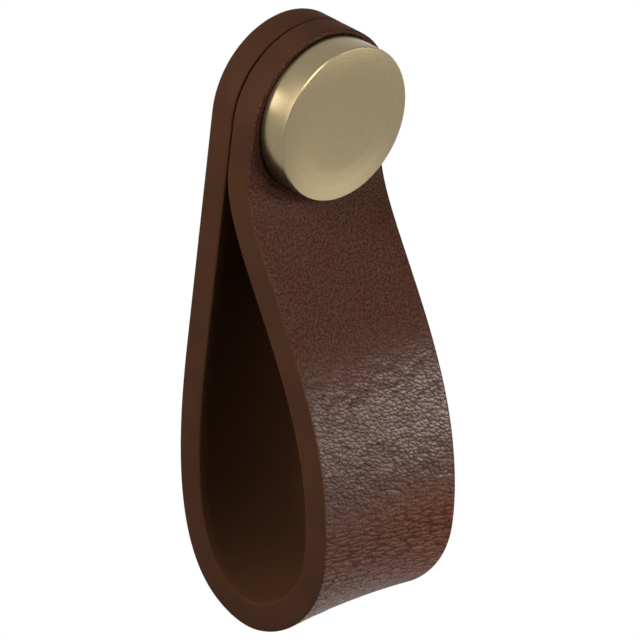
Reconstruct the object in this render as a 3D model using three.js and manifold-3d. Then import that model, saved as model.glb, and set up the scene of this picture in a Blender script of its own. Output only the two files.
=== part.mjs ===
// Leather strap pull: one leather strip folded into a hanging loop, with its two round
// ends held one over the other behind a turned metal knob.
// Millimetres. X runs across the strap, +Y points at the door, +Z is up.
// The origin is on the fixing stud's axis, in the plane of the door's face.

import Module from "manifold-3d";
import * as THREE from "three";
import { mergeVertices, toCreasedNormals } from "three/addons/utils/BufferGeometryUtils.js";

const wasm = await Module();
wasm.setup();

// Leather strip
const strapWidth = 27.9;
const strapThickness = 4.65;
const strapEdgeRounding = 0.35;

// Side view of the folded strip. The reach is how far it stands out from the door, and the
// straights end that far below the stud's axis.
const pullHeight = 94.6;
const tipRise = 13.35;
const layerGap = 0.3;
const rearStraight = 39.6;
const loopDropOut = 18.8;
const loopReach = 35.9;
const loopReachAboveDrop = 18.05;
const frontStraight = 8.25;

// How far each bend keeps the direction that it starts or ends with
const rearSweep = 12.3;
const bottomRearSweep = 16.1;
const bottomFrontSweep = 6.8;
const frontLowSweep = 8.9;
const frontHighSweep = 26.1;
const shoulderSweep = 12.1;

// Turned knob
const knobDiameter = 25;
const knobHeight = 5.5;
const knobFrontBevel = 0.15;
const knobBackBevel = 0.15;
const knobFrontWall = 1.4;
const knobPress = 0.3;
const knobSeatClearance = 0.3;

// Threaded stud that the knob and both ends of the strap are held on
const studDiameter = 4;
const studLength = 20;
const studEndBevel = 0.4;
const studSocketAcross = 2;
const studSocketDepth = 2.5;
const studThreadClearance = 0.2;
const studEndClearance = 0.3;
const strapHoleClearance = 0.5;

// Steps in the round shapes
const tipSteps = 14;
const edgeSteps = 3;
const straightSteps = 3;
const bendSteps = 18;
const knobSteps = 96;
const studSteps = 32;
const socketSides = 6;

// Places that the pieces share. The drop is how far the loop hangs below the stud's axis.
const loopDrop = pullHeight - tipRise;
const strapFrontPlane = -(2 * strapThickness + layerGap);
const knobBackPlane = strapFrontPlane + knobPress;
const knobFrontPlane = knobBackPlane - knobHeight;
const knobHoleEnd = knobFrontPlane + knobFrontWall;
const studFrontEnd = knobHoleEnd + studEndClearance;
const studRearEnd = studFrontEnd + studLength;

const leather = new THREE.MeshStandardMaterial({ color: 0x50322a, roughness: 0.55, metalness: 0 });
const brass = new THREE.MeshStandardMaterial({ color: 0xa8956d, roughness: 0.35, metalness: 1 });
const steel = new THREE.MeshStandardMaterial({ color: 0x8d8f90, roughness: 0.4, metalness: 1 });

// A closed mesh as a solid that can be cut
function toSolid(geometry) {
  const bare = geometry.clone();
  bare.deleteAttribute("normal");
  bare.deleteAttribute("uv");
  const merged = mergeVertices(bare);
  return new wasm.Manifold(new wasm.Mesh({
    numProp: 3,
    vertProperties: new Float32Array(merged.attributes.position.array),
    triVerts: new Uint32Array(merged.index.array),
  }));
}

// A solid back as a geometry, with creases kept sharp
function toGeometry(solid) {
  const { vertProperties, triVerts } = solid.getMesh();
  const geometry = new THREE.BufferGeometry();
  geometry.setAttribute("position", new THREE.BufferAttribute(vertProperties, 3));
  geometry.setIndex(new THREE.BufferAttribute(triVerts, 1));
  return toCreasedNormals(geometry, Math.PI / 6);
}

// Middle line of the folded strip, seen from the side as (y, z), from the tip at the
// door, down the rear leg, round the bottom and up to the tip behind the knob
function makeMiddleLine() {
  const half = strapThickness / 2;
  const rear = -half;
  const front = strapFrontPlane + half;
  const at = (y, z) => new THREE.Vector2(y, z);
  const rearTip = at(rear, tipRise);
  const rearEnd = at(rear, -rearStraight);
  const lowest = at(-loopDropOut, half - loopDrop);
  const foremost = at(half - loopReach, loopReachAboveDrop - loopDrop);
  const shoulder = at(front, -frontStraight);
  const frontTip = at(front, tipRise);

  const line = new THREE.CurvePath();
  line.add(new THREE.LineCurve(rearTip, rearEnd));
  line.add(new THREE.CubicBezierCurve(
    rearEnd, at(rearEnd.x, rearEnd.y - rearSweep),
    at(lowest.x + bottomRearSweep, lowest.y), lowest,
  ));
  line.add(new THREE.CubicBezierCurve(
    lowest, at(lowest.x - bottomFrontSweep, lowest.y),
    at(foremost.x, foremost.y - frontLowSweep), foremost,
  ));
  line.add(new THREE.CubicBezierCurve(
    foremost, at(foremost.x, foremost.y + frontHighSweep),
    at(shoulder.x, shoulder.y - shoulderSweep), shoulder,
  ));
  line.add(new THREE.LineCurve(shoulder, frontTip));
  return line;
}

// Distances along the strip at which its long sides get a row of points
function sideStations(line, stripLength) {
  const tipLength = strapWidth / 2;
  const stations = [];
  let start = 0;
  for (const span of line.curves) {
    const steps = span.isLineCurve ? straightSteps : bendSteps;
    const length = span.getLength();
    for (let step = 0; step < steps; step += 1) {
      stations.push(start + (length * step) / steps);
    }
    start += length;
  }
  return stations.filter((along) => along > tipLength && along < stripLength - tipLength);
}

// One long side of the flat strip from tip to tip, moved in by inset all round
function sideOutline(inset, stations, stripLength) {
  const tipRadius = strapWidth / 2;
  const radius = tipRadius - inset;
  const tip = [];
  for (let step = 0; step <= tipSteps; step += 1) {
    const angle = (step / tipSteps) * (Math.PI / 2);
    const across = step === 0 ? 0 : radius * Math.sin(angle);
    tip.push({ across, along: tipRadius - radius * Math.cos(angle) });
  }
  const side = stations.map((along) => ({ across: radius, along }));
  const farTip = tip.map(({ across, along }) => ({ across, along: stripLength - along })).reverse();
  return [...tip, ...side, ...farTip];
}

// Section of the strip's edge, from its outer face to its inner face, as moves inwards
// and heights above the middle line
function edgeSection() {
  const half = strapThickness / 2;
  const section = [];
  for (const face of [1, -1]) {
    for (let step = 0; step <= edgeSteps; step += 1) {
      const turn = (face === 1 ? step : edgeSteps - step) / edgeSteps;
      const angle = turn * (Math.PI / 2);
      section.push({
        inset: strapEdgeRounding * (1 - Math.sin(angle)),
        height: face * (half - strapEdgeRounding * (1 - Math.cos(angle))),
      });
    }
  }
  return section;
}

// The strip with its rounded edges and round ends, folded along the middle line
function makeFoldedStrip() {
  const line = makeMiddleLine();
  const stripLength = line.getLength();
  const stations = sideStations(line, stripLength);
  const section = edgeSection();
  const positions = [];
  let rows = 0;

  for (const { inset, height } of section) {
    const outline = sideOutline(inset, stations, stripLength);
    rows = outline.length;
    for (const side of [-1, 1]) {
      for (const { across, along } of outline) {
        const share = along / stripLength;
        const middle = line.getPoint(share);
        const heading = line.getTangent(share);
        positions.push(
          side * across,
          middle.x - heading.y * height,
          middle.y + heading.x * height,
        );
      }
    }
  }

  const corner = (level, side, row) => (2 * level + side) * rows + row;
  const faces = [];
  for (let row = 0; row < rows - 1; row += 1) {
    const next = row + 1;
    for (let level = 0; level < section.length - 1; level += 1) {
      const below = level + 1;
      faces.push(corner(level, 0, row), corner(level, 0, next), corner(below, 0, next));
      faces.push(corner(level, 0, row), corner(below, 0, next), corner(below, 0, row));
      faces.push(corner(level, 1, row), corner(below, 1, next), corner(level, 1, next));
      faces.push(corner(level, 1, row), corner(below, 1, row), corner(below, 1, next));
    }
    const inner = section.length - 1;
    if (next < rows - 1) {
      faces.push(corner(0, 0, row), corner(0, 1, next), corner(0, 0, next));
      faces.push(corner(inner, 0, row), corner(inner, 0, next), corner(inner, 1, next));
    }
    if (row > 0) {
      faces.push(corner(0, 0, row), corner(0, 1, row), corner(0, 1, next));
      faces.push(corner(inner, 0, row), corner(inner, 1, next), corner(inner, 1, row));
    }
  }

  const geometry = new THREE.BufferGeometry();
  geometry.setAttribute("position", new THREE.Float32BufferAttribute(positions, 3));
  geometry.setIndex(faces);
  return geometry;
}

// The folded strip with the stud's hole punched through both ends, and with the shallow
// round seat that the knob has pressed into the front leg
function makeStrap() {
  const holeRadius = studDiameter / 2 + strapHoleClearance;
  const bothLayers = -strapFrontPlane;
  const punchLength = bothLayers + 2 * strapThickness;
  const punch = new THREE.CylinderGeometry(holeRadius, holeRadius, punchLength, studSteps);
  punch.translate(0, -bothLayers / 2, 0);
  const seatRadius = knobDiameter / 2 + knobSeatClearance;
  const seat = new THREE.CylinderGeometry(seatRadius, seatRadius, knobHeight, knobSteps);
  seat.translate(0, knobBackPlane + knobSeatClearance - knobHeight / 2, 0);
  return toGeometry(toSolid(makeFoldedStrip()).subtract(toSolid(punch)).subtract(toSolid(seat)));
}

// The knob: a turned disc with a blind hole from behind for the stud
function makeKnob() {
  const radius = knobDiameter / 2;
  const holeRadius = studDiameter / 2 + studThreadClearance;
  const profile = [
    [0, knobFrontPlane],
    [radius - knobFrontBevel, knobFrontPlane],
    [radius, knobFrontPlane + knobFrontBevel],
    [radius, knobBackPlane - knobBackBevel],
    [radius - knobBackBevel, knobBackPlane],
    [holeRadius, knobBackPlane],
    [holeRadius, knobHoleEnd],
    [0, knobHoleEnd],
  ];
  return turned(profile, knobSteps);
}

// The stud: a plain shank of the thread's outer size, with a hexagon socket at the back
function makeStud() {
  const radius = studDiameter / 2;
  const profile = [
    [0, studFrontEnd],
    [radius - studEndBevel, studFrontEnd],
    [radius, studFrontEnd + studEndBevel],
    [radius, studRearEnd - studEndBevel],
    [radius - studEndBevel, studRearEnd],
    [0, studRearEnd],
  ];
  const socketRadius = studSocketAcross / 2 / Math.cos(Math.PI / socketSides);
  const socket = new THREE.CylinderGeometry(
    socketRadius, socketRadius, 2 * studSocketDepth, socketSides,
  );
  socket.translate(0, studRearEnd, 0);
  return toGeometry(toSolid(turned(profile, studSteps)).subtract(toSolid(socket)));
}

// A shape turned about the stud's axis, from pairs of radius and place along Y
function turned(profile, steps) {
  return new THREE.LatheGeometry(profile.map(([radius, y]) => new THREE.Vector2(radius, y)), steps);
}

function makePiece(name, geometry, material) {
  const piece = new THREE.Mesh(geometry, material);
  piece.name = name;
  return piece;
}

const strapPull = new THREE.Group();
strapPull.add(makePiece("strap", makeStrap(), leather));
strapPull.add(makePiece("knob", makeKnob(), brass));
strapPull.add(makePiece("fixing_stud", makeStud(), steel));

export default strapPull;
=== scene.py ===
"""Looks of the leather strap pull: a folded leather strip held behind a brushed metal knob.

The strap is modelled flat, with its rounded edges and punched holes, and is then folded along
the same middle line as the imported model. The knob is turned and the stud is threaded.
All sizes are in metres. X runs across the strap, +Y points at the door and +Z is up.
"""

from __future__ import annotations

import logging
import math
from bisect import bisect_right
from collections.abc import Iterable
from dataclasses import dataclass, field
from enum import Enum

import bmesh
import bpy
from mathutils import Euler, Matrix, Vector, noise

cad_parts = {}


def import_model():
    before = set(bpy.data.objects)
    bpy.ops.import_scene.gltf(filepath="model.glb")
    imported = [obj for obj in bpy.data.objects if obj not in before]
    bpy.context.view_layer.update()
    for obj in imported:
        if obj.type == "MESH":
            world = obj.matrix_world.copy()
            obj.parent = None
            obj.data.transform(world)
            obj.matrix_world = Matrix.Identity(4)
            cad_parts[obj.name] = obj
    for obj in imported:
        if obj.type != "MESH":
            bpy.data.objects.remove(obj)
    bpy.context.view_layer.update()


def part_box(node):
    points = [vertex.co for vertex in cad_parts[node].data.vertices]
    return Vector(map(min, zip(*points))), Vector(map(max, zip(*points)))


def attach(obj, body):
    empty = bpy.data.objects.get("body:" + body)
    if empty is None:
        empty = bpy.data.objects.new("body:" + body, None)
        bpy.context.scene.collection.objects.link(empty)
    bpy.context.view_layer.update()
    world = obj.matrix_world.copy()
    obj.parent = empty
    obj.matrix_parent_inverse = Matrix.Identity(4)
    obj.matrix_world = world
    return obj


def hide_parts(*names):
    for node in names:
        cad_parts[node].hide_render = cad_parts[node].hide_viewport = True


MM = 0.001
ROOT_BODY = "root"
FLAT_PLACE = "flat_place"
RELIEF = "relief"
SAME_PLACE = 0.01 * MM
WARM = (1.0, 0.96, 0.9)
AMBER = (1.0, 0.86, 0.74)

log = logging.getLogger("strap_pull")


class StrapEnd(Enum):
    """The two round ends of the strip."""

    REAR = "against the door"
    FRONT = "behind the knob"


class LampUse(Enum):
    """What a lamp is for: to light surfaces, to be mirrored in them, or both."""

    BOTH = "light and shine"
    LIGHT = "light"
    SHINE = "shine"


class StudEnd(Enum):
    """The two ends of the stud, as signs along Y."""

    FRONT = -1
    REAR = 1


def smooth_step(low: float, high: float, value: float) -> float:
    """Rises smoothly from 0 to 1 as value goes from low to high."""
    share = min(max((value - low) / (high - low), 0.0), 1.0)
    return share * share * (3.0 - 2.0 * share)


def whole_micron(length: float) -> float:
    """Rounds a length read from the frame, in metres, to a whole micrometre."""
    return round(length / MM, 3) * MM


@dataclass(frozen=True)
class Zone:
    """A stretch of the strip, given by distances along it."""

    start: float
    full_from: float
    full_to: float
    end: float

    def share(self, along: float) -> float:
        """Gives 1 inside the zone and 0 well outside it.

        Args:
            along: the distance along the strip.

        Returns:
            The share, from 0 to 1.
        """
        rise = smooth_step(self.start, self.full_from, along)
        fall = smooth_step(self.full_to, self.end, along)
        return rise * (1.0 - fall)


@dataclass(frozen=True)
class GrainZones:
    """Where the grain is pebbled or creased, where warm light is painted on it, where it bends and
    where it faces down.
    """

    pebbles: Zone = Zone(124 * MM, 134 * MM, 147 * MM, 160 * MM)
    creases: Zone = Zone(108 * MM, 117 * MM, 126 * MM, 136 * MM)
    # Painted warm light lies on this stretch of the bend.
    painted_warm_light: Zone = Zone(110 * MM, 118 * MM, 128 * MM, 138 * MM)
    bend: Zone = Zone(95 * MM, 104 * MM, 118 * MM, 136 * MM)
    underside: Zone = Zone(78 * MM, 92 * MM, 114 * MM, 127 * MM)


class Value:
    """A number that a shader node gives, used in plain arithmetic."""

    def __init__(self, tree: bpy.types.NodeTree, socket: bpy.types.NodeSocket) -> None:
        """Wraps an output socket of a node in tree."""
        self.tree = tree
        self.socket = socket

    def _join(self, operation: str, *terms: Value | float) -> Value:
        """Adds one Math node.

        Args:
            operation: the Math node's operation.
            terms: its inputs in order.

        Returns:
            The node's result.
        """
        node = self.tree.nodes.new("ShaderNodeMath")
        node.operation = operation
        for slot, term in enumerate(terms):
            if isinstance(term, Value):
                self.tree.links.new(term.socket, node.inputs[slot])
            else:
                node.inputs[slot].default_value = term
        return Value(self.tree, node.outputs[0])

    def __add__(self, other: Value | float) -> Value:
        """Gives self + other."""
        return self._join("ADD", self, other)

    def __radd__(self, other: float) -> Value:
        """Gives other + self."""
        return self._join("ADD", other, self)

    def __sub__(self, other: Value | float) -> Value:
        """Gives self - other."""
        return self._join("SUBTRACT", self, other)

    def __rsub__(self, other: float) -> Value:
        """Gives other - self."""
        return self._join("SUBTRACT", other, self)

    def __mul__(self, other: Value | float) -> Value:
        """Gives self * other."""
        return self._join("MULTIPLY", self, other)

    def __rmul__(self, other: float) -> Value:
        """Gives other * self."""
        return self._join("MULTIPLY", other, self)

    def __truediv__(self, other: Value | float) -> Value:
        """Gives self / other."""
        return self._join("DIVIDE", self, other)

    def __pow__(self, other: Value | float) -> Value:
        """Gives self to the power of other."""
        return self._join("POWER", self, other)

    def at_least(self, other: Value | float) -> Value:
        """Gives the larger of self and other."""
        return self._join("MAXIMUM", self, other)


class Nodes:
    """A node tree under construction, with one method that makes any node."""

    def __init__(self, tree: bpy.types.NodeTree) -> None:
        """Empties a tree to build in it."""
        self.tree = tree
        self.tree.nodes.clear()

    def node(
        self,
        kind: str,
        settings: dict[str, object] | None = None,
        inputs: dict[str | int, object] | None = None,
    ) -> bpy.types.Node:
        """Adds a node.

        Args:
            kind: the node's type.
            settings: its properties, which are set first.
            inputs: numbers, colours, sockets or Values for its sockets.

        Returns:
            The new node.
        """
        made = self.tree.nodes.new(kind)
        for name, value in (settings or {}).items():
            setattr(made, name, value)
        for name, value in (inputs or {}).items():
            if isinstance(value, Value):
                value = value.socket
            if isinstance(value, bpy.types.NodeSocket):
                self.tree.links.new(value, made.inputs[name])
            else:
                made.inputs[name].default_value = value
        return made

    def value(self, socket: bpy.types.NodeSocket) -> Value:
        """Wraps a socket for arithmetic."""
        return Value(self.tree, socket)

    def parts(self, vector: bpy.types.NodeSocket) -> tuple[Value, Value, Value]:
        """Splits a vector into its three numbers."""
        split = self.node("ShaderNodeSeparateXYZ", inputs={"Vector": vector})
        return tuple(self.value(socket) for socket in split.outputs)

    def vector(self, x: Value | float, y: Value | float, z: Value | float) -> bpy.types.NodeSocket:
        """Joins three numbers into a vector."""
        return self.node("ShaderNodeCombineXYZ", inputs={"X": x, "Y": y, "Z": z}).outputs[0]

    def noise(
        self, vector: bpy.types.NodeSocket, scale: float, detail: float = 2.0, roughness: float = 0.5
    ) -> Value:
        """Gives smooth noise from 0 to 1.

        Args:
            vector: where it is read.
            scale: how many lumps there are for each unit of vector.
            detail: how many finer layers are added.
            roughness: how strong the finer layers are.

        Returns:
            The noise.
        """
        inputs = {"Vector": vector, "Scale": scale, "Detail": detail, "Roughness": roughness}
        return self.value(self.node("ShaderNodeTexNoise", inputs=inputs).outputs["Fac"])

    def cells(self, vector: bpy.types.NodeSocket, scale: float, feature: str = "F1") -> Value:
        """Gives a cell pattern's distances.

        Args:
            vector: where it is read.
            scale: how many cells there are for each unit of vector.
            feature: the Voronoi feature, such as F1 or DISTANCE_TO_EDGE.

        Returns:
            The distance.
        """
        settings = {"voronoi_dimensions": "2D", "feature": feature}
        made = self.node("ShaderNodeTexVoronoi", settings, {"Vector": vector, "Scale": scale})
        return self.value(made.outputs["Distance"])

    def domes(self, vector: bpy.types.NodeSocket, scale: float) -> Value:
        """Gives round domes, one for each cell, from 0 between them to 1 on top."""
        near = self.cells(vector, scale)
        return (1.0 - near * near * 2.2).at_least(0.0)

    def scaled(self, colour: bpy.types.NodeSocket, share: Value) -> bpy.types.NodeSocket:
        """Makes a colour lighter or darker by a factor."""
        inputs = {0: colour, "Scale": share}
        return self.node("ShaderNodeVectorMath", {"operation": "SCALE"}, inputs).outputs[0]

    def step(self, value: Value, low: float, high: float) -> Value:
        """Gives 0 to 1, smoothly, as value goes from low to high.

        Args:
            value: what is looked at.
            low: where the result starts to rise.
            high: where it has risen.

        Returns:
            The result, from 0 to 1.
        """
        inputs = {"Value": value, "From Min": low, "From Max": high}
        made = self.node("ShaderNodeMapRange", {"interpolation_type": "SMOOTHSTEP"}, inputs)
        return self.value(made.outputs["Result"])

    def mix(self, share: Value, first: object, second: object) -> bpy.types.NodeSocket:
        """Mixes two colours.

        Args:
            share: how much of the second there is.
            first: a colour or a colour socket.
            second: a colour or a colour socket.

        Returns:
            The mixed colour.
        """
        inputs = {"Factor": share, 6: first, 7: second}
        return self.node("ShaderNodeMix", {"data_type": "RGBA"}, inputs).outputs[2]

    def bump(self, height: Value, distance: float) -> bpy.types.NodeSocket:
        """Gives a normal bent by a height field.

        Args:
            height: the field, where 1 stands for distance.
            distance: the relief's real depth in metres.

        Returns:
            The bent normal.
        """
        inputs = {"Height": height, "Distance": distance, "Strength": 1.0}
        return self.node("ShaderNodeBump", inputs=inputs).outputs[0]


class Finish(Nodes):
    """A material under construction."""

    def __init__(self, name: str) -> None:
        """Starts an empty node material called name."""
        self.material = bpy.data.materials.new(name)
        self.material.use_nodes = True
        super().__init__(self.material.node_tree)

    def surface(self, inputs: dict[str | int, object]) -> bpy.types.Material:
        """Ends the material with a principled shader.

        Args:
            inputs: what its sockets get.

        Returns:
            The finished material.
        """
        shader = self.node("ShaderNodeBsdfPrincipled", inputs=inputs)
        self.node("ShaderNodeOutputMaterial", inputs={"Surface": shader.outputs[0]})
        return self.material


class LeatherGrain:
    """The strip's grain as shader patterns, in millimetres of the flat strip.

    Each face's finish fades out between a pair of depths under the face. A step is how far
    toward the light a pattern is read again, which tells the slopes that face the light.
    """

    GRAIN_DEPTHS = (0.14, 0.01)
    FLESH_DEPTHS = (0.04, 0.3)
    PEBBLE_STEP_ACROSS = 0.09
    PEBBLE_STEP_ALONG = 0.18
    ROW_STEP_ALONG = 0.22

    def __init__(self, finish: Finish, zones: GrainZones, half_thickness: float) -> None:
        """Makes the patterns.

        Args:
            finish: the material that they are made in.
            zones: where each kind of grain lies along the strip.
            half_thickness: half the strip's thickness in metres.
        """
        self.finish = finish
        place_node = finish.node("ShaderNodeAttribute", {"attribute_name": FLAT_PLACE})
        relief_node = finish.node("ShaderNodeAttribute", {"attribute_name": RELIEF})
        self.place = place_node.outputs["Vector"]
        self.across, self.along, self.height = finish.parts(self.place)
        self.standing = finish.value(relief_node.outputs["Fac"])

        half = half_thickness / MM
        deep, shallow = self.GRAIN_DEPTHS
        self.grain_side = finish.step(self.height, half - deep, half - shallow)
        shallow, deep = self.FLESH_DEPTHS
        self.flesh_side = 1.0 - finish.step(self.height, shallow - half, deep - half)
        self.smooth_side = 1.0 - self.grain_side
        self.pebble_zone = self._band(zones.pebbles)
        self.crease_zone = self._band(zones.creases)
        self.painted_warm_light_zone = self._band(zones.painted_warm_light)
        self.under_zone = self._band(zones.underside)
        self.fine_zone = 1.0 - self.pebble_zone.at_least(self.crease_zone)

        self.patches = finish.noise(self.place, 0.13)
        self.warp = finish.noise(self.place, 0.8, 3.0) - 0.5
        self.fine = self._fine_grain()
        self.pebbles = self._pebbles(self.across, self.along)
        self.rows = self._rows(self.along)
        further_across = self.across + self.PEBBLE_STEP_ACROSS
        further_along = self.along + self.PEBBLE_STEP_ALONG
        self.pebble_slopes = self.pebbles - self._pebbles(further_across, further_along)
        self.row_slopes = self.rows - self._rows(self.along + self.ROW_STEP_ALONG)

    def _band(self, zone: Zone) -> Value:
        """Gives 1 inside a zone of the strip and 0 well outside it.

        Args:
            zone: the stretch of the strip.

        Returns:
            The share, from 0 to 1.
        """
        start = self.finish.step(self.along, zone.start / MM, zone.full_from / MM)
        end = 1.0 - self.finish.step(self.along, zone.full_to / MM, zone.end / MM)
        return start * end

    def _fine_grain(self) -> Value:
        """Gives the fine dense grain, from 0 in its pits to 1.

        Returns:
            The grain's height, as a share.
        """
        finish = self.finish
        bent_across = self.across * 1.1 + self.warp * 0.5
        bent = finish.vector(bent_across, self.along * 0.95 - self.warp * 0.5, 0.0)
        speckle = finish.noise(finish.vector(self.across, self.along, 6.0), 3.2, 2.0, 0.6)
        mixed = finish.domes(bent, 2.2) * 0.5 + finish.step(speckle, 0.3, 0.7) * 0.5
        return finish.step(mixed, 0.28, 0.86)

    def _pebbles(self, across: Value, along: Value) -> Value:
        """Gives small pebbles, from 0 in the lines between them to 1 on top.

        Args:
            across: place across the strip.
            along: place along the strip.

        Returns:
            The pebbles' height, as a share.
        """
        finish = self.finish
        sloping = along * 1.7 + across * 0.35 - self.warp * 0.7
        bent = finish.vector(across * 0.98 + self.warp * 0.7, sloping, 0.0)
        lines = finish.step(finish.cells(bent, 1.0, "DISTANCE_TO_EDGE"), 0.0, 0.25)
        joined = finish.step(finish.noise(finish.vector(across * 0.6, along, 4.0), 0.7), 0.46, 0.62)
        parted = lines.at_least(joined * 0.8)
        return finish.domes(bent, 1.0) * 0.43 + parted * 0.38 + finish.domes(bent, 2.1) * 0.19

    def _rows(self, along: Value) -> Value:
        """Gives long thin pebbles in rows that run across the strip.

        Args:
            along: place along the strip.

        Returns:
            The pebbles' height, as a share.
        """
        finish = self.finish
        sloping = along * 1.35 + self.across * 0.2 + self.warp * 1.1
        bent = finish.vector(self.across * 0.34 + self.warp * 0.6, sloping, 5.0)
        lines = finish.step(finish.cells(bent, 1.0, "DISTANCE_TO_EDGE"), 0.0, 0.3)
        return finish.domes(bent, 1.0) * 0.45 + lines * 0.3 + finish.domes(bent, 2.3) * 0.25


@dataclass(frozen=True)
class StrapLeather:
    """Full-grain leather: pebbled outside, smooth flesh side and painted edges.

    Lengths are in millimetres. A tone is a share of the grain's colour, and a gloss is a share
    of the clear finish on it. The sideways glosses are for each millimetre across the strip.
    The tones that follow the relief paint shade into the pits, cracks and lines between the
    pebbles and rows, and paint light onto the tops and onto the sides of the rows that face
    the light. The redder colour on the right of the bend is painted warm light.
    """

    half_thickness: float
    zones: GrainZones
    grain: tuple[float, ...] = (0.074, 0.0295, 0.0180, 1.0)
    grain_grey: tuple[float, ...] = (0.072, 0.0345, 0.0228, 1.0)
    # Colour of the painted warm light, redder and more saturated, on the right of the bend.
    painted_warm_light: tuple[float, ...] = (0.082, 0.0275, 0.0130, 1.0)
    edge_paint: tuple[float, ...] = (0.047, 0.0200, 0.0112, 1.0)
    edge_paint_dark: tuple[float, ...] = (0.041, 0.0175, 0.0100, 1.0)
    flesh: tuple[float, ...] = (0.052, 0.0225, 0.0105, 1.0)
    fine_depth: float = 0.12
    fine_share_elsewhere: float = 0.4
    pebble_depth: float = 0.24
    row_depth: float = 0.26
    edge_depth: float = 0.010
    flesh_depth: float = 0.020
    # The painted warm light rises from the strip's left edge towards its right.
    painted_warm_light_across: tuple[float, float] = (-12.0, 9.0)
    # Tones that follow the relief: painted shade in the pits, cracks and lines between pebbles and
    # rows, painted light on the tops.
    painted_pit_shade_tone: float = 0.15
    painted_relief_shade_tone: float = 0.62
    fine_tone: float = 0.20
    fine_zone_tone: float = 0.52
    pebble_tone: float = 0.28
    crease_tone: float = 0.10
    crease_standing_tone: float = 0.04
    row_tone: float = 0.46
    # Painted highlight on the sides of the rows that face the light.
    painted_ridge_highlight_tone: float = 0.62
    plain_gloss: float = 0.015
    fine_gloss: float = 0.035
    pebble_gloss: float = 0.08
    tip_gloss: float = 0.54
    tip_gloss_sideways: float = 0.012
    row_gloss: float = 0.04
    ridge_gloss: float = 0.16
    under_gloss: float = 0.32
    under_gloss_sideways: float = 0.013
    grain_roughness: float = 0.64
    smoother_when_standing: float = 0.1
    edge_roughness: float = 0.66
    rougher_on_flesh: float = 0.3
    coat_roughness: float = 0.36
    bare_specular: float = 0.02

    def make(self) -> bpy.types.Material:
        """Builds the material.

        Returns:
            The finished material.
        """
        finish = Finish("strap_leather")
        grain = LeatherGrain(finish, self.zones, self.half_thickness)
        # The sides of the rows that face the light, which get a painted highlight in the colour and
        # more clear finish.
        lit_row_sides = finish.step(grain.row_slopes + grain.rows * 0.3, 0.0, 0.7)
        return finish.surface(
            {
                "Base Color": self._colour(finish, grain, lit_row_sides),
                "Roughness": self._roughness(grain),
                "Specular IOR Level": self.bare_specular,
                "Coat Weight": self._gloss(finish, grain, lit_row_sides),
                "Coat Roughness": self.coat_roughness,
                "Normal": finish.bump(self._relief(finish, grain), MM),
            }
        )

    def _relief(self, finish: Finish, grain: LeatherGrain) -> Value:
        """Gives the height of the finest relief in millimetres.

        Args:
            finish: the material under construction.
            grain: its grain patterns.

        Returns:
            The height.
        """
        fine_share = self.fine_share_elsewhere + grain.fine_zone * (1.0 - self.fine_share_elsewhere)
        grain_height = grain.fine * fine_share * self.fine_depth
        grain_height += grain.pebbles * grain.pebble_zone * self.pebble_depth
        grain_height += grain.rows * grain.crease_zone * self.row_depth
        edge_place = finish.vector(grain.across, grain.along * 0.3, grain.height)
        smooth_height = finish.noise(edge_place, 1.6, 3.0) * self.edge_depth
        flesh_noise = finish.noise(grain.place, 3.5, 4.0, 0.6)
        smooth_height += flesh_noise * grain.flesh_side * self.flesh_depth
        return grain_height * grain.grain_side + smooth_height * grain.smooth_side

    def _colour(self, finish: Finish, grain: LeatherGrain, lit_row_sides: Value) -> bpy.types.NodeSocket:
        """Gives the colour of the grain, with its painted shade and light, the edges and the flesh
        side.

        Args:
            finish: the material under construction.
            grain: its grain patterns.
            lit_row_sides: the sides of the rows that face the light, from 0 to 1.

        Returns:
            The colour.
        """
        base = finish.mix(finish.step(grain.patches, 0.30, 0.74), self.grain, self.grain_grey)
        # Painted warm light: the grain turns redder and more saturated towards the right of the bend.
        painted_warm_light_share = grain.painted_warm_light_zone * finish.step(grain.across, *self.painted_warm_light_across)
        base = finish.mix(painted_warm_light_share, base, self.painted_warm_light)
        crease_tone = self.crease_tone + grain.standing * self.crease_standing_tone
        # Painted highlight: the sides of the rows that face the light are made lighter.
        crease_tone += grain.rows * self.row_tone + lit_row_sides * self.painted_ridge_highlight_tone
        # Painted shade and light: the tone is darkest in the pits, cracks and lines between pebbles
        # and rows and lightest on the tops.
        tone = self.painted_pit_shade_tone + grain.standing * self.painted_relief_shade_tone
        tone += grain.fine * (self.fine_tone + grain.fine_zone * self.fine_zone_tone)
        tone += grain.pebbles * grain.pebble_zone * self.pebble_tone
        tone += grain.crease_zone * crease_tone
        painted = finish.step(grain.patches, 0.35, 0.65)
        edge = finish.mix(painted, self.edge_paint, self.edge_paint_dark)
        smooth = finish.mix(grain.flesh_side, edge, self.flesh)
        return finish.mix(grain.grain_side, smooth, finish.scaled(base, tone))

    def _roughness(self, grain: LeatherGrain) -> Value:
        """Gives the roughness under the clear finish.

        Args:
            grain: its grain patterns.

        Returns:
            The roughness.
        """
        on_grain = self.grain_roughness - grain.standing * self.smoother_when_standing
        elsewhere = self.edge_roughness + grain.flesh_side * self.rougher_on_flesh
        return on_grain * grain.grain_side + elsewhere * grain.smooth_side

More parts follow.
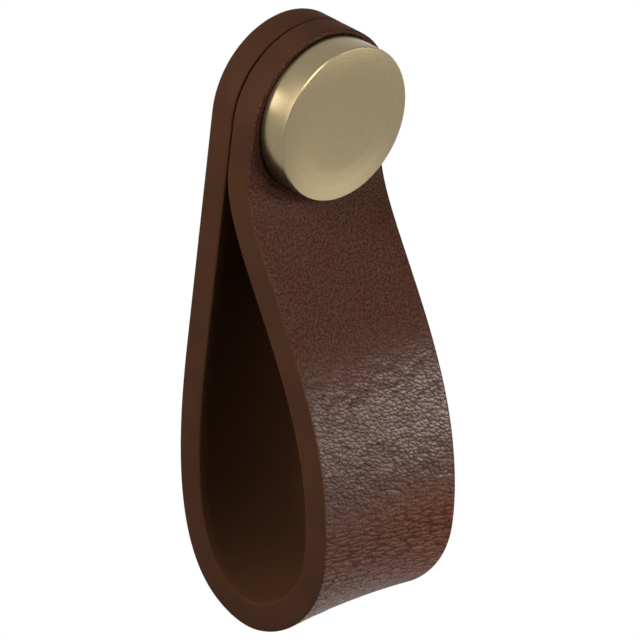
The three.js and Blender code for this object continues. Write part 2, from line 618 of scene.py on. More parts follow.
    def _gloss(self, finish: Finish, grain: LeatherGrain, lit_row_sides: Value) -> Value:
        """Gives how much of the clear finish shows: most on the pebbles that face upwards.

        Args:
            finish: the material under construction.
            grain: its grain patterns.
            lit_row_sides: the sides of the rows that face the light, from 0 to 1.

        Returns:
            The clear finish's weight.
        """
        facing = grain.pebbles * 0.35 + grain.pebble_slopes + grain.fine * 0.15
        tips = finish.step(facing, 0.0, 0.75) * grain.standing
        tip_gloss = self.tip_gloss + grain.across * self.tip_gloss_sideways
        under_gloss = self.under_gloss - grain.across * self.under_gloss_sideways
        gloss = self.plain_gloss + grain.fine * self.fine_gloss
        gloss += grain.under_zone * (0.4 + grain.fine * 1.1) * under_gloss
        gloss += grain.pebble_zone * self.pebble_gloss
        gloss += grain.pebble_zone ** 1.5 * tips * tip_gloss
        gloss += grain.crease_zone * (grain.rows * self.row_gloss + lit_row_sides * self.ridge_gloss)
        return gloss * grain.grain_side


@dataclass(frozen=True)
class BrushedBrass:
    """Pale brass, turned on the face and brushed round the side."""

    colour: tuple[float, ...] = (0.232, 0.182, 0.105, 1.0)
    pale_colour: tuple[float, ...] = (0.270, 0.214, 0.127, 1.0)
    groove_depth: float = 0.0035 * MM
    lines_per_mm: float = 9.0
    arc_scale: float = 2.2
    axis_radius: float = 0.2 * MM
    roughness: float = 0.24
    rougher_on_lines: float = 0.08

    def make(self) -> bpy.types.Material:
        """Builds the material.

        Returns:
            The finished material.
        """
        finish = Finish("brushed_brass")
        place = finish.node("ShaderNodeTexCoord").outputs["Object"]
        x, y, z = finish.parts(place)
        radius = (x * x + z * z) ** 0.5
        safe_radius = radius.at_least(self.axis_radius)
        arc_x = x / safe_radius * self.arc_scale
        arc_z = z / safe_radius * self.arc_scale
        line_scale = self.lines_per_mm / MM
        lines = finish.vector(radius * line_scale, y * line_scale, 0.0)
        streak_place = finish.node(
            "ShaderNodeVectorMath",
            {"operation": "ADD"},
            {0: lines, 1: finish.vector(arc_x, arc_z, arc_x - arc_z)},
        ).outputs[0]
        fine = finish.noise(streak_place, 1.0, 3.0, 0.7)
        broad = finish.noise(streak_place, 0.13, 2.0, 0.5)
        tint = finish.mix(broad * 0.7 + fine * 0.3, self.colour, self.pale_colour)
        return finish.surface(
            {
                "Base Color": tint,
                "Metallic": 1.0,
                "Roughness": self.roughness + fine * self.rougher_on_lines,
                "Normal": finish.bump(fine * 0.7 + broad * 0.3, self.groove_depth),
            }
        )


@dataclass(frozen=True)
class ZincSteel:
    """Zinc-plated steel of the stud, slightly mottled."""

    colour: tuple[float, ...] = (0.42, 0.43, 0.44, 1.0)
    dull_colour: tuple[float, ...] = (0.30, 0.31, 0.31, 1.0)
    mottle_scale: float = 900.0
    mottle_depth: float = 0.003 * MM
    roughness: float = 0.28
    rougher_on_mottle: float = 0.2

    def make(self) -> bpy.types.Material:
        """Builds the material.

        Returns:
            The finished material.
        """
        finish = Finish("zinc_steel")
        place = finish.node("ShaderNodeTexCoord").outputs["Object"]
        mottle = finish.noise(place, self.mottle_scale, 3.0)
        return finish.surface(
            {
                "Base Color": finish.mix(mottle, self.dull_colour, self.colour),
                "Metallic": 1.0,
                "Roughness": self.roughness + mottle * self.rougher_on_mottle,
                "Normal": finish.bump(mottle, self.mottle_depth),
            }
        )


@dataclass
class FoldLine:
    """The middle line of the folded strip, seen from the side.

    It runs from the tip at the door down the rear leg, round the bottom of the loop and up to
    the tip behind the knob. Drops are measured down from the stud's axis and reaches out from
    the door.
    """

    tip_rise: float
    loop_drop: float
    loop_reach: float
    thickness: float = 4.65 * MM
    layer_gap: float = 0.3 * MM
    rear_straight: float = 39.6 * MM
    loop_drop_out: float = 18.8 * MM
    loop_reach_above_drop: float = 18.05 * MM
    front_straight: float = 8.25 * MM
    rear_sweep: float = 12.3 * MM
    bottom_rear_sweep: float = 16.1 * MM
    bottom_front_sweep: float = 6.8 * MM
    front_low_sweep: float = 8.9 * MM
    front_high_sweep: float = 26.1 * MM
    shoulder_sweep: float = 12.1 * MM
    samples_per_span: int = 400
    lengths: list[float] = field(default_factory=list, init=False)
    points: list[Vector] = field(default_factory=list, init=False)
    headings: list[Vector] = field(default_factory=list, init=False)

    def __post_init__(self) -> None:
        """Samples every span, with the distance along the line at each sample."""
        travelled = 0.0
        for corners in self._spans():
            for step in range(self.samples_per_span + 1):
                point, heading = self._on_span(corners, step / self.samples_per_span)
                if self.points:
                    travelled += (point - self.points[-1]).length
                self.points.append(point)
                self.headings.append(heading)
                self.lengths.append(travelled)

    @property
    def front_plane(self) -> float:
        """Where the front leg's outer face lies behind the knob."""
        return -(2.0 * self.thickness + self.layer_gap)

    @property
    def length(self) -> float:
        """The strip's whole length."""
        return self.lengths[-1]

    def _spans(self) -> list[tuple[Vector, Vector, Vector, Vector]]:
        """Gives the four control points of each span.

        Returns:
            The spans in order.
        """
        half = self.thickness / 2.0
        rear_tip = Vector((0.0, -half, self.tip_rise))
        rear_end = Vector((0.0, -half, -self.rear_straight))
        lowest = Vector((0.0, -self.loop_drop_out, half - self.loop_drop))
        foremost_drop = self.loop_drop - self.loop_reach_above_drop
        foremost = Vector((0.0, half - self.loop_reach, -foremost_drop))
        shoulder = Vector((0.0, self.front_plane + half, -self.front_straight))
        front_tip = Vector((0.0, self.front_plane + half, self.tip_rise))
        down = Vector((0.0, 0.0, -1.0))
        forward = Vector((0.0, -1.0, 0.0))
        return [
            self._straight(rear_tip, rear_end),
            (
                rear_end,
                rear_end + down * self.rear_sweep,
                lowest - forward * self.bottom_rear_sweep,
                lowest,
            ),
            (
                lowest,
                lowest + forward * self.bottom_front_sweep,
                foremost + down * self.front_low_sweep,
                foremost,
            ),
            (
                foremost,
                foremost - down * self.front_high_sweep,
                shoulder + down * self.shoulder_sweep,
                shoulder,
            ),
            self._straight(shoulder, front_tip),
        ]

    @staticmethod
    def _straight(start: Vector, end: Vector) -> tuple[Vector, Vector, Vector, Vector]:
        """Gives a straight span's control points."""
        third = (end - start) / 3.0
        return start, start + third, end - third, end

    @staticmethod
    def _on_span(corners: tuple[Vector, ...], share: float) -> tuple[Vector, Vector]:
        """Gives a cubic span's point and heading.

        Args:
            corners: the four control points.
            share: 0 at the start and 1 at the end.

        Returns:
            The point and the unit heading.
        """
        a, b, c, d = corners
        rest = 1.0 - share
        point = a * rest**3 + b * 3 * rest**2 * share + c * 3 * rest * share**2 + d * share**3
        heading = (b - a) * rest**2 + (c - b) * 2 * rest * share + (d - c) * share**2
        return point, heading.normalized()

    def place(self, along: float) -> tuple[Vector, Vector]:
        """Finds a point of the line.

        Args:
            along: the distance from the rear tip.

        Returns:
            The point and the unit direction out of the strip's grain side.
        """
        last = len(self.lengths) - 1
        upper = min(max(bisect_right(self.lengths, along), 1), last)
        lower = upper - 1
        gap = self.lengths[upper] - self.lengths[lower]
        share = (along - self.lengths[lower]) / gap if gap > 0.0 else 0.0
        point = self.points[lower].lerp(self.points[upper], share)
        heading = self.headings[lower].lerp(self.headings[upper], share).normalized()
        return point, Vector((0.0, -heading.z, heading.y))


@dataclass
class GrainRelief:
    """The grain's real relief: lumps, cracks, folds, waves and the pucker beside the knob."""

    zones: GrainZones
    knob_centre: Vector
    crack_depth: float = 0.07 * MM
    fold_height: float = 0.12 * MM
    fold_spacing: float = 1.2 * MM
    lump_height: float = 0.09 * MM
    wave_height: float = 0.10 * MM
    flat_height: float = 0.02 * MM
    tuck_height: float = 0.55 * MM
    tuck_radius: float = 14.4 * MM
    tuck_turn: float = -0.61
    tuck_width: float = 1.5 * MM
    tuck_length: float = 4.4 * MM
    edge_fade_from: float = 12.4 * MM
    edge_fade_to: float = 13.6 * MM

    def height(self, across: float, along: float) -> tuple[float, float]:
        """Works out the relief at one point of the flat strip.

        Args:
            across: place across the strip in metres.
            along: place along the strip in metres.

        Returns:
            The relief's height in metres, and how high the grain stands, from 0 to 1.
        """
        x = across / MM
        s = along / MM
        pebbles = self.zones.pebbles.share(along)
        creases = self.zones.creases.share(along)
        wander = noise.noise(Vector((x * 0.25, s * 0.25, 3.1)))
        crack = max(
            0.8 * self._crack(x, s + 0.7 * x, wander, 11.3),
            self._crack(x, s + 0.1 * x, wander, 23.9),
        )
        fold = self._fold(x, s, wander)
        lump = noise.noise(Vector((x * 0.6, s * 0.8, 7.7)))
        wave = noise.noise(Vector((x * 0.12, s * 0.2, 1.7)))
        tuck, tuck_line = self._tuck(across, along)
        height = (
            lump * (self.flat_height + (self.lump_height - self.flat_height) * pebbles)
            - crack * self.crack_depth * pebbles
            + fold * self.fold_height * creases
            + wave * self.wave_height * pebbles
            + tuck_line * self.tuck_height * tuck
        )
        # How high the grain stands also sets the strap's colour: low in the cracks, the folds' troughs
        # and the pucker's lines beside the knob, it paints shade there.
        marked = (0.94 - 0.34 * crack) * pebbles + (0.3 + 0.7 * fold) * creases
        zoned = max(pebbles + creases, 1.0)
        plain = 0.75 * (1.0 - min(pebbles + creases, 1.0))
        standing = marked / zoned + plain + (tuck_line * 1.8 - 0.2) * tuck
        fade = 1.0 - smooth_step(self.edge_fade_from, self.edge_fade_to, abs(across))
        return height * fade, min(max(standing, 0.0), 1.0)

    @staticmethod
    def _crack(x: float, s: float, wander: float, seed: float) -> float:
        """Gives 1 in the long cracks that run across the strip, and 0 between them."""
        line = noise.noise(Vector((x * 0.18, s * 0.45 + wander * 1.1, seed)))
        return 1.0 - smooth_step(0.0, 0.11, abs(line))

    def _fold(self, x: float, s: float, wander: float) -> float:
        """Gives 1 on the crests of the small folds in the bend, and 0 between them.

        Args:
            x: place across the strip in millimetres.
            s: place along the strip in millimetres.
            wander: how far the folds stray there.

        Returns:
            The share, from 0 to 1.
        """
        slant = s + 0.2 * x + wander * 1.5 + 0.6 * noise.noise(Vector((x * 0.45, s * 0.9, 5.9)))
        crest = 0.5 + 0.5 * math.sin(2.0 * math.pi * slant / (self.fold_spacing / MM))
        presence = smooth_step(-0.25, 0.3, noise.noise(Vector((x * 0.35, s * 0.8, 14.2))))
        return smooth_step(0.35, 1.0, crest) * presence

    def _tuck(self, across: float, along: float) -> tuple[float, float]:
        """Works out the pucker that runs a short way round the knob.

        Args:
            across: place across the strip in metres.
            along: place along the strip in metres.

        Returns:
            How far inside the puckered stretch the point is, from 0 to 1, and the height of
            the pucker's lines there, from about -1 to 1.
        """
        spoke = Vector((across, along)) - self.knob_centre
        turned = math.atan2(spoke.x, -spoke.y) - self.tuck_turn
        out = (spoke.length - self.tuck_radius) / self.tuck_width
        around = turned * self.tuck_radius / self.tuck_length
        line = noise.noise(Vector((turned * 4.0, spoke.length / MM * 1.2, 8.3)))
        return math.exp(-out * out - around * around), line


@dataclass
class Strap:
    """The leather strip, modelled flat and then folded.

    The rings under the knob are shares of its radius, and those at the wall of its seat are
    shares of the wall's width, out from the wall's foot.
    """

    line: FoldLine
    relief: GrainRelief
    width: float
    knob_back: float
    knob_radius: float
    edge_rounding: float = 0.35 * MM
    hole_radius: float = 2.5 * MM
    hole_rounding: float = 0.2 * MM
    hole_margin: float = 0.3 * MM
    below_hole: float = 14.5 * MM
    columns: int = 96
    inner_column_step: int = 6
    dense_from: float = 84.0 * MM
    dense_fade: float = 8.0 * MM
    dense_row: float = 0.23 * MM
    sparse_row: float = 0.75 * MM
    tip_steps: int = 44
    side_steps: int = 12
    outer_rings: int = 14
    rounding_steps: int = 3
    wall_steps: int = 3
    flare: float = 0.6 * MM
    seat_depth: float = 0.12 * MM
    seat_clearance: float = 0.06 * MM
    seat_wall_width: float = 0.16 * MM
    rings_under_knob: tuple[float, ...] = (0.48, 0.96)
    rings_at_wall: tuple[float, ...] = (0.0, 0.5, 1.0, 2.5)
    lip_height: float = 0.1 * MM
    lip_width: float = 1.4 * MM

    @property
    def tip_radius(self) -> float:
        """Radius of the round ends."""
        return self.width / 2.0

    @property
    def flat_half(self) -> float:
        """Half the width of the flat face, inside the rounded edge."""
        return self.tip_radius - self.edge_rounding

    @property
    def tip_length(self) -> float:
        """How far from each tip the plain rows of the strip start."""
        return self.line.tip_rise + self.below_hole

    @property
    def seat_wall(self) -> float:
        """Radius at which the wall of the knob's seat starts."""
        return self.knob_radius + self.seat_clearance

    @property
    def seat_rings(self) -> list[float]:
        """Radii of the rings of points under the knob and at the wall of its seat.

        Returns:
            The radii, from the inside out.
        """
        under_knob = [self.knob_radius * share for share in self.rings_under_knob]
        at_wall = [self.seat_wall + self.seat_wall_width * share for share in self.rings_at_wall]
        return under_knob + at_wall

    def build(self) -> bpy.types.Object:
        """Makes the folded strap.

        Returns:
            The finished object.
        """
        bm = bmesh.new()
        self._lay_rows(bm)
        for end in StrapEnd:
            self._lay_tip(bm, end)
        bmesh.ops.remove_doubles(bm, verts=bm.verts[:], dist=0.02 * MM)
        bmesh.ops.translate(bm, vec=(0.0, 0.0, self.line.thickness / 2.0), verts=bm.verts[:])
        self._round_over(bm)
        everything = bm.verts[:] + bm.edges[:] + bm.faces[:]
        bmesh.ops.mirror(bm, geom=everything, axis="Z", merge_dist=0.005 * MM)
        self._thin_out_flesh_side(bm)
        bmesh.ops.recalc_face_normals(bm, faces=bm.faces[:])
        self._fold(bm)
        return new_object("leather_strap", bm)

    def _lay_rows(self, bm: bmesh.types.BMesh) -> None:
        """Lays the strip's straight rows, close together where the loop is seen best.

        Args:
            bm: the flat strip under construction.
        """
        rows = [self.tip_length]
        end = self.line.length - self.tip_length
        while rows[-1] < end:
            share = smooth_step(
                self.dense_from - self.dense_fade, self.dense_from + self.dense_fade, rows[-1]
            )
            rows.append(rows[-1] + self.sparse_row + (self.dense_row - self.sparse_row) * share)
        stretch = (end - rows[0]) / (rows[-1] - rows[0])
        rows = [rows[0] + (row - rows[0]) * stretch for row in rows]
        steps = len(rows) - 1
        bmesh.ops.create_grid(bm, x_segments=self.columns, y_segments=steps, size=0.5)
        for vert in bm.verts:
            row = round((vert.co.y + 0.5) * steps)
            vert.co = Vector((vert.co.x * 2.0 * self.flat_half, rows[row], 0.0))

    def _tip_outline(self) -> list[Vector]:
        """Gives the points round a tip's flat face, starting with the row that it joins.

        Returns:
            The points in order, for the end at the door.
        """
        points = []
        for column in range(self.columns + 1):
            x = (2.0 * column / self.columns - 1.0) * self.flat_half
            points.append(Vector((x, self.tip_length, 0.0)))
        side = self.tip_length - self.tip_radius
        for step in range(1, self.side_steps):
            y = self.tip_length - side * step / self.side_steps
            points.append(Vector((self.flat_half, y, 0.0)))
        for step in range(self.tip_steps + 1):
            angle = math.pi * step / self.tip_steps
            x = math.cos(angle) * self.flat_half
            y = self.tip_radius - math.sin(angle) * self.flat_half
            points.append(Vector((x, y, 0.0)))
        for step in range(1, self.side_steps):
            y = self.tip_radius + side * step / self.side_steps
            points.append(Vector((-self.flat_half, y, 0.0)))
        return points

    def _lay_tip(self, bm: bmesh.types.BMesh, end: StrapEnd) -> None:
        """Lays one round end as rings between its outline and the stud's hole.

        Args:
            bm: the flat strip under construction.
            end: which end it is.
        """
        points = self._tip_outline()
        centre = Vector((0.0, self.line.tip_rise, 0.0))
        inner_rings = [self.hole_radius, *self.seat_rings]
        last = len(inner_rings) - 1
        rings = []
        for number in range(len(inner_rings) + self.outer_rings):
            verts = bmesh.ops.create_circle(bm, segments=len(points), radius=self.hole_radius)["verts"]
            rings.append(list({edge for vert in verts for edge in vert.link_edges}))
            for vert, point in zip(verts, points):
                spoke = point - centre
                reach = inner_rings[min(number, last)]
                if number > last:
                    reach += (spoke.length - reach) * (number - last) / self.outer_rings
                vert.co = centre + spoke.normalized() * reach
                if end is StrapEnd.FRONT:
                    vert.co.y = self.line.length - vert.co.y
        for inner, outer in zip(rings, rings[1:]):
            bmesh.ops.bridge_loops(bm, edges=inner + outer)

    def _hole_centre(self, point: Vector) -> Vector:
        """Gives the centre of the stud hole on this half of the strip.

        Args:
            point: a point of the flat strip.

        Returns:
            The centre, at the point's own height.
        """
        near_rear = point.y < self.line.length / 2.0
        y = self.line.tip_rise if near_rear else self.line.length - self.line.tip_rise
        return Vector((0.0, y, point.z))

    def _outward(self, point: Vector) -> tuple[Vector, float]:
        """Finds which way the rim faces at a point.

        Args:
            point: a point on the outline or on a hole.

        Returns:
            The unit direction off the leather, and the rounding that the rim has there.
        """
        to_hole = self._hole_centre(point) - point
        if to_hole.length < self.hole_radius + self.hole_margin:
            return to_hole.normalized(), self.hole_rounding
        tip_centre = min(max(point.y, self.tip_radius), self.line.length - self.tip_radius)
        away = point - Vector((0.0, tip_centre, point.z))
        return away.normalized(), self.edge_rounding

    def _round_over(self, bm: bmesh.types.BMesh) -> None:
        """Rounds every rim of the face over and takes its wall to half the thickness.

        Args:
            bm: the flat face.
        """
        rim = [edge for edge in bm.edges if edge.is_boundary]
        ways = {}
        for vert in {vert for edge in rim for vert in edge.verts}:
            ways[vert] = (vert.co.copy(), *self._outward(vert.co))
        half = self.line.thickness / 2.0
        steps = [("round", (step + 1) / self.rounding_steps) for step in range(self.rounding_steps)]
        steps += [("wall", (step + 1) / self.wall_steps) for step in range(self.wall_steps)]
        for form, share in steps:
            before = {vert.co.copy().freeze(): ways[vert] for vert in ways}
            made = bmesh.ops.extrude_edge_only(bm, edges=rim)["geom"]
            rim = [part for part in made if isinstance(part, bmesh.types.BMEdge) and part.is_boundary]
            ways = {}
            for vert in {vert for edge in rim for vert in edge.verts}:
                start, way, rounding = before[vert.co.copy().freeze()]
                ways[vert] = (start, way, rounding)
                if form == "round":
                    angle = share * math.pi / 2.0
                    sideways = rounding * math.sin(angle)
                    drop = rounding * (1.0 - math.cos(angle))
                else:
                    sideways = rounding
                    drop = rounding + (half - rounding) * share
                vert.co = start + way * sideways - Vector((0.0, 0.0, drop))

    def _thin_out_flesh_side(self, bm: bmesh.types.BMesh) -> None:
        """Joins the flesh side's narrow columns into wider ones, because it is smooth.

        Args:
            bm: the flat strip.
        """
        flesh = -self.line.thickness / 2.0
        spare = []
        for edge in bm.edges:
            first, second = (vert.co for vert in edge.verts)
            on_flesh = abs(first.z - flesh) < SAME_PLACE and abs(second.z - flesh) < SAME_PLACE
            lengthwise = abs(first.x - second.x) < SAME_PLACE
            nearest = min(first.y, second.y, self.line.length - first.y, self.line.length - second.y)
            in_rows = nearest > self.tip_length - SAME_PLACE
            column = (first.x / self.flat_half + 1.0) * self.columns / 2.0
            if on_flesh and lengthwise and in_rows and round(column) % self.inner_column_step:
                spare.append(edge)
        bmesh.ops.dissolve_edges(bm, edges=spare, use_verts=True)

    def _fold(self, bm: bmesh.types.BMesh) -> None:
        """Adds the relief, folds the flat strip and presses it flat under the knob.

        Args:
            bm: the flat strip.
        """
        flat_layer = bm.verts.layers.float_vector.new(FLAT_PLACE)
        relief_layer = bm.verts.layers.float.new(RELIEF)
        half = self.line.thickness / 2.0
        for vert in bm.verts:
            across, along, height = vert.co
            vert[flat_layer] = vert.co / MM
            point, outward = self.line.place(along)
            grain_share = smooth_step(half - self.edge_rounding, half, height)
            raised, standing = self.relief.height(across, along)
            vert[relief_layer] = standing
            bend_share = self.relief.zones.bend.share(along)
            flare = self.flare * ((across / self.tip_radius) ** 2 - 0.4) * bend_share
            height += raised * grain_share + flare
            vert.co = Vector((across, 0.0, 0.0)) + point + outward * height
        self._press_seat(bm, flat_layer)

    def _press_seat(self, bm: bmesh.types.BMesh, flat_layer: bmesh.types.BMLayerItem) -> None:
        """Presses the knob's seat into the front leg, with a soft raised lip round it.

        Args:
            bm: the folded strip.
            flat_layer: where each point lay on the flat strip.
        """
        floor = self.knob_back + self.seat_depth
        middle = self.line.length / 2.0
        for vert in bm.verts:
            if vert[flat_layer].y * MM < middle or vert[flat_layer].z <= 0.0:
                continue
            from_axis = math.hypot(vert.co.x, vert.co.z)
            wall = smooth_step(self.seat_wall, self.seat_wall + self.seat_wall_width, from_axis)
            away = (from_axis - self.seat_wall - self.seat_wall_width) / self.lip_width
            lip = self.lip_height * math.exp(-3.0 * max(away, 0.0))
            if vert.co.y < floor:
                vert.co.y = floor + (vert.co.y - floor - lip) * wall


@dataclass
class Knob:
    """The turned disc: bevelled front edge, and a plain blind hole from behind for the stud."""

    front: float
    back: float
    radius: float
    front_bevel: float = 0.2 * MM
    back_bevel: float = 0.15 * MM
    edge_softness: float = 0.03 * MM
    hole_radius: float = 2.2 * MM
    front_wall: float = 1.4 * MM
    steps: int = 240

    def build(self) -> bpy.types.Object:
        """Makes the knob.

        Returns:
            The finished object.
        """
        soft = self.edge_softness
        profile = [
            (0.0, self.front),
            (self.radius * 0.5, self.front),
            (self.radius - self.front_bevel - soft, self.front),
            (self.radius - self.front_bevel, self.front + soft * 0.3),
            (self.radius - soft * 0.3, self.front + self.front_bevel),
            (self.radius, self.front + self.front_bevel + soft),
            (self.radius, self.back - self.back_bevel),
            (self.radius - self.back_bevel, self.back),
            (self.hole_radius, self.back),
            (self.hole_radius, self.front + self.front_wall),
            (0.0, self.front + self.front_wall),
        ]
        bm = bmesh.new()
        turn(bm, profile, self.steps)
        return new_object("turned_knob", bm, sharp_angle=math.radians(28.0))


@dataclass
class Stud:
    """The threaded stud, with a hexagon socket in its rear end."""

    front: float
    back: float
    radius: float
    pitch: float = 0.7 * MM
    thread_depth: float = 0.43 * MM
    crest: float = 0.09 * MM
    root: float = 0.18 * MM
    end_bevel: float = 0.45 * MM
    socket_across: float = 2.0 * MM
    socket_depth: float = 2.5 * MM
    steps: int = 40

    def build(self) -> bpy.types.Object:
        """Makes the stud.

        Returns:
            The finished object.
        """
        bm = bmesh.new()
        self._cut_thread(bm)
        for end in StudEnd:
            self._trim(bm, end)
        self._close_front(bm)
        self._open_socket(bm)
        bmesh.ops.recalc_face_normals(bm, faces=bm.faces[:])
        return new_object("threaded_stud", bm, sharp_angle=math.radians(35.0))

    def _cut_thread(self, bm: bmesh.types.BMesh) -> None:
        """Winds a thread that is longer than the stud at both ends.

        Args:
            bm: the mesh that gets it.
        """
        root_radius = self.radius - self.thread_depth
        flank = (self.pitch - self.crest - self.root) / 2.0
        section = [
            (root_radius, 0.0),
            (root_radius, self.root),
            (self.radius, self.root + flank),
            (self.radius, self.root + flank + self.crest),
        ]
        turns = math.ceil((self.back - self.front) / self.pitch) + 4
        start = self.front - 2.0 * self.pitch
        verts = []
        for number in range(turns):
            for radius, offset in section:
                place = Vector((radius, start + number * self.pitch + offset, 0.0))
                verts.append(bm.verts.new(place))
        edges = [bm.edges.new(pair) for pair in zip(verts, verts[1:])]
        bmesh.ops.spin(
            bm,
            geom=verts + edges,
            cent=(0.0, 0.0, 0.0),
            axis=(0.0, 1.0, 0.0),
            dvec=(0.0, self.pitch / self.steps, 0.0),
            angle=2.0 * math.pi,
            steps=self.steps,
            use_duplicate=False,
        )
        bmesh.ops.remove_doubles(bm, verts=bm.verts[:], dist=SAME_PLACE)

    def _trim(self, bm: bmesh.types.BMesh, end: StudEnd) -> None:
        """Cuts the thread off square at one end and bevels it.

        Args:
            bm: the threaded rod.
            end: which end is cut and bevelled.
        """
        level = self.back if end is StudEnd.REAR else self.front
        bmesh.ops.bisect_plane(
            bm,
            geom=bm.verts[:] + bm.edges[:] + bm.faces[:],
            dist=1e-7,
            plane_co=(0.0, level, 0.0),
            plane_no=(0.0, float(end.value), 0.0),
            clear_outer=True,
        )
        for vert in bm.verts:
            depth = abs(vert.co.y - level)
            limit = self.radius - self.end_bevel + depth
            radius = math.hypot(vert.co.x, vert.co.z)
            if depth < self.end_bevel and radius > limit:
                vert.co.x *= limit / radius
                vert.co.z *= limit / radius

    def _end_edges(self, bm: bmesh.types.BMesh, level: float) -> list[bmesh.types.BMEdge]:
        """Gives the open edges that lie in one end's plane.

        Args:
            bm: the threaded rod.
            level: the end's place along Y.

        Returns:
            The edges.
        """
        return [
            edge
            for edge in bm.edges
            if edge.is_boundary and all(abs(vert.co.y - level) < SAME_PLACE for vert in edge.verts)
        ]

    def _close_front(self, bm: bmesh.types.BMesh) -> None:
        """Closes the end inside the knob."""
        bmesh.ops.holes_fill(bm, edges=self._end_edges(bm, self.front), sides=0)

    def _open_socket(self, bm: bmesh.types.BMesh) -> None:
        """Joins the rear end to a hexagon and sinks the hexagon into the stud.

        Args:
            bm: the threaded rod.
        """
        rim = self._end_edges(bm, self.back)
        turned = Euler((math.pi / 2.0, 0.0, 0.0)).to_matrix().to_4x4()
        hexagon = bmesh.ops.create_circle(
            bm,
            segments=6,
            radius=self.socket_across / math.sqrt(3.0),
            matrix=Matrix.Translation((0.0, self.back, 0.0)) @ turned,
        )["verts"]
        mouth = list({edge for vert in hexagon for edge in vert.link_edges})
        bmesh.ops.bridge_loops(bm, edges=rim + mouth)
        sunk = bmesh.ops.extrude_edge_only(bm, edges=mouth)["geom"]
        floor_verts = [part for part in sunk if isinstance(part, bmesh.types.BMVert)]
        bmesh.ops.translate(bm, vec=(0.0, -self.socket_depth, 0.0), verts=floor_verts)
        bmesh.ops.contextual_create(bm, geom=floor_verts)


def turn(bm: bmesh.types.BMesh, profile: Iterable[tuple[float, float]], steps: int) -> None:
    """Turns a profile about the Y axis into a closed shape.

    Args:
        bm: the mesh that gets it.
        profile: pairs of radius and place along Y, from axis to axis.
        steps: how many steps a full turn has.
    """
    verts = [bm.verts.new((radius, y, 0.0)) for radius, y in profile]
    edges = [bm.edges.new(pair) for pair in zip(verts, verts[1:])]
    bmesh.ops.spin(
        bm,
        geom=verts + edges,
        cent=(0.0, 0.0, 0.0),
        axis=(0.0, 1.0, 0.0),
        angle=2.0 * math.pi,
        steps=steps,
        use_merge=True,
    )
    bmesh.ops.remove_doubles(bm, verts=bm.verts[:], dist=0.001 * MM)
    bmesh.ops.recalc_face_normals(bm, faces=bm.faces[:])


def new_object(name: str, bm: bmesh.types.BMesh, sharp_angle: float | None = None) -> bpy.types.Object:
    """Turns a mesh under construction into a smooth-shaded object.

    Args:
        name: the object's name.
        bm: the mesh, which is freed.
        sharp_angle: edges that turn more than this stay sharp.

    Returns:
        The new object, linked to the scene.
    """
    mesh = bpy.data.meshes.new(name)
    for face in bm.faces:
        face.smooth = True
    bm.to_mesh(mesh)
    bm.free()
    if sharp_angle is not None:
        mesh.set_sharp_from_angle(angle=sharp_angle)
    made = bpy.data.objects.new(name, mesh)
    bpy.context.scene.collection.objects.link(made)
    return made


@dataclass
class Lamp:
    """A soft box that faces the middle of the object."""

    name: str
    direction: tuple[float, float, float]
    distance: float
    width: float
    height: float
    power: float
    colour: tuple[float, float, float] = WARM
    use: LampUse = LampUse.BOTH

    def build(self, target: Vector) -> bpy.types.Object:
        """Makes the lamp.

        Args:
            target: the point that it faces.

        Returns:
            The lamp's object.
        """
        light = bpy.data.lights.new(self.name, "AREA")
        light.shape = "RECTANGLE"
        light.size = self.width
        light.size_y = self.height
        light.energy = self.power
        light.color = self.colour
        made = bpy.data.objects.new(self.name, light)
        way = Vector(self.direction).normalized()
        made.location = target + way * self.distance
        made.rotation_euler = way.to_track_quat("Z", "Y").to_euler()
        made.visible_diffuse = self.use is not LampUse.SHINE
        made.visible_glossy = self.use is not LampUse.LIGHT
        bpy.context.scene.collection.objects.link(made)
        return made


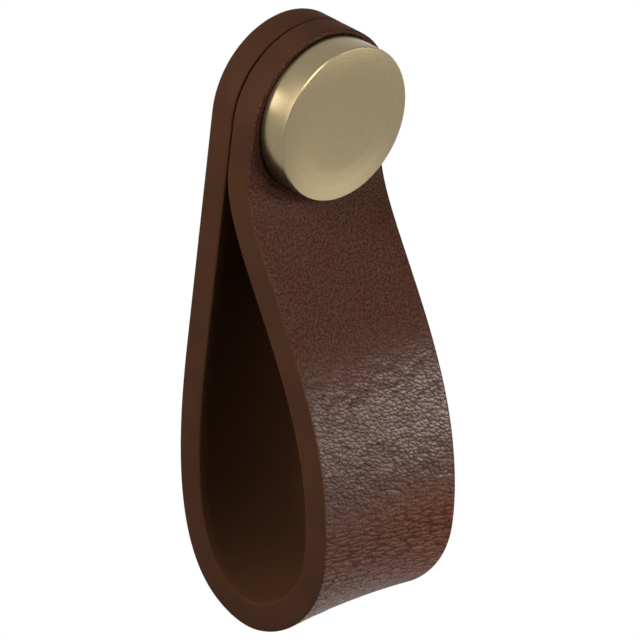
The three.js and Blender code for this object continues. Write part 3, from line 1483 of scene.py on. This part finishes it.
@dataclass
class Studio:
    """Camera, lamps and surroundings."""

    aim: Vector = field(default_factory=lambda: Vector((0.0, -12.0 * MM, -45.0 * MM)))
    azimuth: float = math.radians(-45.39)
    elevation: float = math.radians(26.61)
    roll: float = math.radians(7.37)
    distance: float = 488.85 * MM
    slide_right: float = 3.188 * MM
    slide_up: float = 9.422 * MM
    lens: float = 174.6
    sensor: float = 36.0
    ambient: float = 0.07

    def set_camera(self) -> None:
        """Places the camera as the photograph's camera stood."""
        flat = math.cos(self.elevation)
        back = Vector(
            (
                math.sin(self.azimuth) * flat,
                -math.cos(self.azimuth) * flat,
                math.sin(self.elevation),
            )
        )
        level_right = Vector((math.cos(self.azimuth), math.sin(self.azimuth), 0.0))
        level_up = back.cross(level_right)
        right = level_right * math.cos(self.roll) + level_up * math.sin(self.roll)
        up = level_up * math.cos(self.roll) - level_right * math.sin(self.roll)
        lens = bpy.data.cameras.new("camera")
        lens.sensor_width = self.sensor
        lens.lens = self.lens
        lens.clip_start = 0.01
        camera = bpy.data.objects.new("camera", lens)
        turned = Matrix((right, up, back)).transposed().to_4x4()
        place = self.aim + back * self.distance + right * self.slide_right + up * self.slide_up
        camera.matrix_world = Matrix.Translation(place) @ turned
        bpy.context.scene.collection.objects.link(camera)
        bpy.context.scene.camera = camera

    def light(self) -> None:
        """Hangs the lamps and sets the surroundings."""
        lamps = [
            Lamp("key_lamp", (0.15, -0.85, 0.40), 0.9, 0.45, 0.35, 5.0, use=LampUse.LIGHT),
            Lamp("left_lamp", (-0.80, 0.06, 0.52), 0.32, 0.08, 0.22, 1.42),
            Lamp("low_lamp", (0.62, -0.74, -0.25), 0.16, 0.07, 0.07, 0.065, AMBER, LampUse.LIGHT),
            Lamp("sheen_lamp", (0.64, -0.75, 0.16), 0.9, 0.26, 0.20, 3.4, use=LampUse.SHINE),
            Lamp("bevel_lamp", (-0.18, -0.74, 0.65), 0.9, 0.42, 0.42, 3.6, use=LampUse.SHINE),
            Lamp("face_lamp", (0.66, -0.60, -0.46), 0.16, 0.07, 0.07, 0.019, use=LampUse.SHINE),
            Lamp("rim_lamp", (-0.74, 0.63, 0.24), 0.9, 0.12, 0.3, 1.0, use=LampUse.SHINE),
            Lamp("right_lamp", (0.92, 0.25, 0.0), 0.9, 0.4, 0.4, 4.6, use=LampUse.LIGHT),
            Lamp("back_lamp", (0.10, 0.95, 0.15), 0.9, 0.5, 0.5, 5.2, use=LampUse.LIGHT),
            Lamp("floor_lamp", (0.15, -0.35, -0.92), 0.9, 0.5, 0.5, 2.2, use=LampUse.LIGHT),
        ]
        for lamp in lamps:
            lamp.build(self.aim)
        self._surround()

    def _surround(self) -> None:
        """Makes the white backdrop, which is seen and mirrored but lights only softly."""
        world = bpy.data.worlds.new("studio")
        world.use_nodes = True
        bpy.context.scene.world = world
        nodes = Nodes(world.node_tree)
        rays = nodes.node("ShaderNodeLightPath").outputs
        seen = nodes.value(rays["Is Camera Ray"]).at_least(nodes.value(rays["Is Glossy Ray"]))
        seen = seen.at_least(nodes.value(rays["Is Transmission Ray"]))
        strength = self.ambient + (1.0 - self.ambient) * seen
        white = (1.0, 1.0, 1.0, 1.0)
        backdrop = nodes.node("ShaderNodeBackground", inputs={"Color": white, "Strength": strength})
        nodes.node("ShaderNodeOutputWorld", inputs={"Surface": backdrop.outputs[0]})


def dress(piece: bpy.types.Object, node: str, material: bpy.types.Material) -> None:
    """Gives a finished piece its place in the model.

    Args:
        piece: the visual piece.
        node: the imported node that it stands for.
        material: its finish.
    """
    piece.data.materials.append(material)
    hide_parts(node)
    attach(piece, ROOT_BODY)
    log.info("%s: %d faces, stands for %s", piece.name, len(piece.data.polygons), node)


def main() -> None:
    """Builds the camera, the pieces and the studio in order."""
    logging.basicConfig(level=logging.INFO, format="%(name)s: %(message)s")
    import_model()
    bpy.context.scene.view_settings.view_transform = "Standard"

    studio = Studio()
    studio.set_camera()

    strap_low, strap_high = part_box("strap")
    knob_low, knob_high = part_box("knob")
    stud_low, stud_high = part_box("fixing_stud")
    zones = GrainZones()
    line = FoldLine(
        tip_rise=whole_micron(strap_high.z),
        loop_drop=whole_micron(-strap_low.z),
        loop_reach=whole_micron(-strap_low.y),
    )
    relief = GrainRelief(zones, Vector((0.0, line.length - line.tip_rise)))
    strap_width = whole_micron(strap_high.x - strap_low.x)
    strap = Strap(line, relief, strap_width, knob_high.y, whole_micron(knob_high.x))
    leather = StrapLeather(line.thickness / 2.0, zones).make()
    dress(strap.build(), "strap", leather)
    knob = Knob(knob_low.y, knob_high.y, knob_high.x)
    dress(knob.build(), "knob", BrushedBrass().make())
    stud = Stud(stud_low.y, stud_high.y, stud_high.x)
    dress(stud.build(), "fixing_stud", ZincSteel().make())

    studio.light()


if __name__ == "__main__":
    main()
